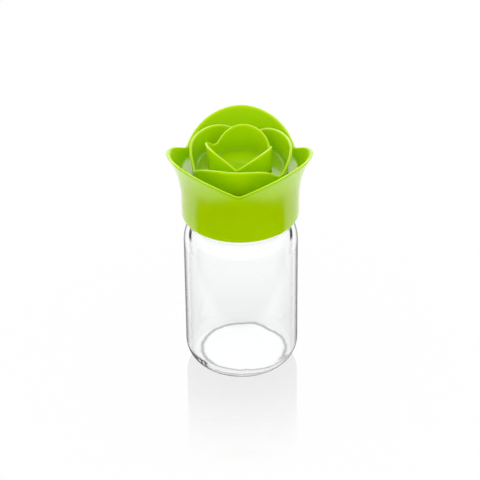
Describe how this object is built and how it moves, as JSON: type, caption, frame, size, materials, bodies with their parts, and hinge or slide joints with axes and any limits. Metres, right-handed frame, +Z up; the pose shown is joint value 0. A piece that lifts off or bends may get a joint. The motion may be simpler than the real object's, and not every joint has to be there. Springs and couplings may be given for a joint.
{
  "type": "spice shaker",
  "caption": "Round glass spice jar with a pressed-in sifter and a screw lid shaped as a rose of nested petal rings.",
  "frame": {"origin": "middle of the jar's flat base, on the surface that it stands on", "axes": "+Z up along the jar's axis; the crease between the two front outer petals faces -Y"},
  "size_m": [0.0624, 0.0611, 0.1117],
  "materials": {
    "clear_glass": "clear, fire-polished",
    "natural_polyethylene": "satin, translucent white",
    "sealing_foam": "matte foam",
    "green_polypropylene": "glossy moulded, bright leaf green"
  },
  "bodies": {
    "jar": {"glass_jar": "clear_glass"},
    "sifter": {"sifter_insert": "natural_polyethylene"},
    "liner": {"cap_liner": "sealing_foam"},
    "lid": {"petal_cap": "green_polypropylene", "middle_petals": "green_polypropylene", "inner_petal_cup": "green_polypropylene"}
  },
  "joints": [
    {"name": "sifter_pull", "type": "slide", "parent": "jar", "child": "sifter", "axis": [0, 0, 1], "range_m": [0, 0.0126]},
    {"name": "lid_lift", "type": "slide", "parent": "sifter", "child": "liner", "axis": [0, 0, 1], "range_m": [0, 0.02451]},
    {"name": "lid_turn", "type": "hinge", "parent": "liner", "child": "lid", "pos_m": [0, 0, 0.0762], "axis": [0, 0, 1], "range_deg": [0, 2100]}
  ],
  "couplings": [
    {"joint": "lid_lift", "follows": "lid_turn", "m_per_rad": 0.00066845}
  ]
}
